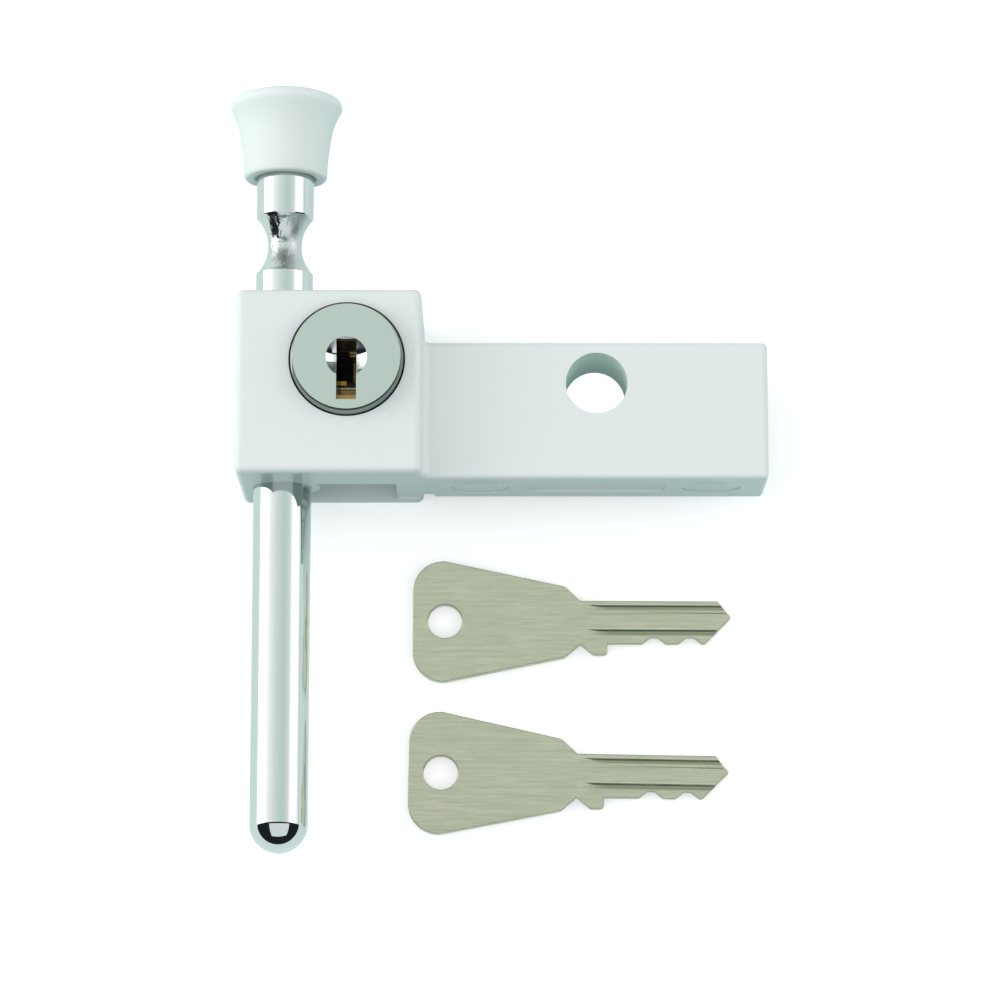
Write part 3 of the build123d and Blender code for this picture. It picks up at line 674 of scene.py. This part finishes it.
studio = dict(
    floorSize=6.0, floorDrop=0.05, floorColour=(0.90, 0.885, 0.885), floorLift=0.36, floorGlossyLift=0.10,
    floorUnder=(0.17, 0.41, 0.38), floorShine=(0.84, 0.94, 0.93),
    openAxis=holeLightTint["axis"], openHeight=13.1, openRadius=5.4, paintedHoleLight=0.45,
    shadeSide=(0.02, 0.022, 0.025), shadeDiffuse=(0.19, 0.28, 0.27), diffuseShift=-35.0,
    shadeFrom=-5.6, shadeTo=-4.6, farStart=0.3, farEnd=0.8, farDim=0.3,
    panel=(1.0, 1.05, 1.1), panelAlong=(1, 54), panelAcross=(-34, 45),
    tent=[                       # angle across in degrees and colour
        (-116, (1.10, 1.22, 1.20)), (-100, (1.90, 1.95, 1.95)), (-92, (2.60, 2.65, 2.65)),
        (-58, (2.60, 2.65, 2.65)), (-50, (1.55, 1.60, 1.58)), (-41, (1.39, 1.38, 1.36)),
        (-33, (1.25, 1.28, 1.265)), (-25, (1.13, 1.19, 1.16)), (-17, (1.03, 1.09, 1.06)),
        (-9, (0.945, 1.04, 1.00)), (-1.3, (0.883, 1.00, 0.95)), (6.5, (0.81, 0.967, 0.91)),
        (14.5, (0.785, 0.937, 0.88)), (22.5, (0.86, 0.956, 0.92)), (30.6, (0.945, 1.01, 0.984)),
        (39, (1.10, 1.13, 1.11)), (46, (1.60, 1.65, 1.65)), (50, (1.85, 1.90, 1.90)),
        (73, (1.85, 1.90, 1.90)), (80, (1.20, 1.25, 1.27)), (87, (0.87, 0.92, 0.94)),
        (98, (0.90, 1.00, 1.00)),
    ],
    lamps=[                      # name, place, lean in degrees, height, length, power
        ("leftFill", (-0.96, 0.06, 0.28), -73.7, 0.4, 0.6, 2.9),
        ("rightFill", (0.96, 0.06, 0.28), 73.7, 0.4, 0.6, 0.7),
    ],
)


def behindHole(tree):            # 1 where the floor is seen through the arm's hole; painted light there hides the floor's shadow
    ray = addNode(tree, "ShaderNodeNewGeometry").outputs
    steps = calc(tree, "DIVIDE", studio["openHeight"] * mm, splitXYZ(tree, ray["Incoming"])["Z"])
    level = addNode(tree, "ShaderNodeVectorMath", operation="ADD")     # the ray's place level with the hole
    tree.links.new(ray["Position"], level.inputs[0])
    tree.links.new(scaled(tree, ray["Incoming"], steps), level.inputs[1])
    away = awayFrom(tree, splitXYZ(tree, level.outputs[0]), *studio["openAxis"])
    return calc(tree, "LESS_THAN", away, studio["openRadius"] * mm)


def makeFloor():
    bm = bmesh.new()
    bmesh.ops.create_grid(bm, x_segments=1, y_segments=1, size=studio["floorSize"] / 2)
    bmesh.ops.translate(bm, vec=(0, 0, -studio["floorDrop"] * mm), verts=bm.verts)
    mesh = bpy.data.meshes.new("floor")
    bm.to_mesh(mesh)
    bm.free()
    floor = bpy.data.objects.new("floor", mesh)
    bpy.context.scene.collection.objects.link(floor)
    material = bpy.data.materials.new("paleFloor")
    material.use_nodes = True
    tree = material.node_tree
    tree.nodes.clear()
    diffuse = addNode(tree, "ShaderNodeBsdfDiffuse")
    glow = addNode(tree, "ShaderNodeEmission")
    path = addNode(tree, "ShaderNodeLightPath").outputs
    colour = blendColour(tree, path["Is Diffuse Ray"], studio["floorColour"], studio["floorUnder"])
    colour = blendColour(tree, path["Is Glossy Ray"], colour, studio["floorShine"])
    tree.links.new(colour, diffuse.inputs["Color"])
    seen = calc(tree, "MAXIMUM", path["Is Camera Ray"], path["Is Transmission Ray"])
    glossy = calc(tree, "MULTIPLY", path["Is Glossy Ray"], studio["floorGlossyLift"])
    # painted light on the floor seen through the hole, hiding the shadow there
    lift = calc(tree, "MULTIPLY_ADD", behindHole(tree), studio["paintedHoleLight"], studio["floorLift"])
    tree.links.new(calc(tree, "MULTIPLY_ADD", seen, lift, glossy), glow.inputs["Strength"])
    both = addNode(tree, "ShaderNodeAddShader")
    tree.links.new(diffuse.outputs[0], both.inputs[0])
    tree.links.new(glow.outputs[0], both.inputs[1])
    out = addNode(tree, "ShaderNodeOutputMaterial")
    tree.links.new(both.outputs[0], out.inputs["Surface"])
    mesh.materials.append(material)


def between(tree, angle, limits):          # 1 where an angle lies between two limits in degrees
    above, below = [
        calc(tree, operation, angle, math.radians(limit))
        for operation, limit in zip(("GREATER_THAN", "LESS_THAN"), limits)
    ]
    return calc(tree, "MULTIPLY", above, below)


def makeWorld():                 # a pale tent over the object, darker on the side the photographer stands
    world = bpy.data.worlds.new("studioTent")
    bpy.context.scene.world = world
    world.use_nodes = True
    tree = world.node_tree
    tree.nodes.clear()
    split = splitXYZ(tree, addNode(tree, "ShaderNodeTexCoord").outputs["Generated"])
    across = calc(tree, "ARCTAN2", split["X"], split["Z"])
    along = calc(tree, "ARCTAN2", calc(tree, "MULTIPLY", split["Y"], -1.0), split["Z"])
    acrossPlace = calc(tree, "MULTIPLY_ADD", across, 0.5 / math.pi, 0.5)
    overhead = ramp(tree, acrossPlace, [(0.5 + angle / 360, colour) for angle, colour in studio["tent"]])
    far = remap(tree, split["Y"], studio["farStart"], studio["farEnd"], 1.0, studio["farDim"])
    overhead = scaled(tree, overhead, far)
    path = addNode(tree, "ShaderNodeLightPath").outputs
    shift = math.radians(studio["diffuseShift"])
    shifted = calc(tree, "MULTIPLY_ADD", path["Is Diffuse Ray"], shift, along)
    inShade = remap(tree, shifted, math.radians(studio["shadeFrom"]), math.radians(studio["shadeTo"]))
    dark = blendColour(tree, path["Is Diffuse Ray"], studio["shadeSide"], studio["shadeDiffuse"])
    shaded = blendColour(tree, inShade, overhead, dark)
    alongPanel = between(tree, along, studio["panelAlong"])
    acrossPanel = between(tree, across, studio["panelAcross"])
    lit = blendColour(tree, calc(tree, "MULTIPLY", alongPanel, acrossPanel), shaded, studio["panel"])
    seen = blendColour(tree, path["Is Camera Ray"], lit, (1.0, 1.0, 1.0))
    background = addNode(tree, "ShaderNodeBackground")
    tree.links.new(seen, background.inputs["Color"])
    out = addNode(tree, "ShaderNodeOutputWorld")
    tree.links.new(background.outputs[0], out.inputs["Surface"])


def makeLamps():
    for name, place, lean, height, length, power in studio["lamps"]:
        data = bpy.data.lights.new(name, "AREA")
        data.shape = "RECTANGLE"
        data.size = height
        data.size_y = length
        data.energy = power
        lamp = bpy.data.objects.new(name, data)
        lamp.location = place
        lamp.rotation_euler = (0.0, math.radians(lean), 0.0)
        lamp.visible_camera = False
        lamp.visible_glossy = False
        bpy.context.scene.collection.objects.link(lamp)


photoCamera = dict(
    place=(0.025311, -0.144711, 0.648551), tilt=11.0, lens=139.22, sensor=36.0, near=0.05, far=20.0,
)


def makeCamera():
    data = bpy.data.cameras.new("photoCamera")
    data.lens = photoCamera["lens"]
    data.sensor_width = photoCamera["sensor"]
    data.clip_start = photoCamera["near"]
    data.clip_end = photoCamera["far"]
    camera = bpy.data.objects.new("photoCamera", data)
    camera.location = photoCamera["place"]
    camera.rotation_euler = (math.radians(photoCamera["tilt"]), 0.0, 0.0)
    bpy.context.scene.collection.objects.link(camera)
    bpy.context.scene.camera = camera


makeFloor()
makeWorld()
makeLamps()
makeCamera()
bpy.context.scene.view_settings.view_transform = "Standard"
print("studio ready")
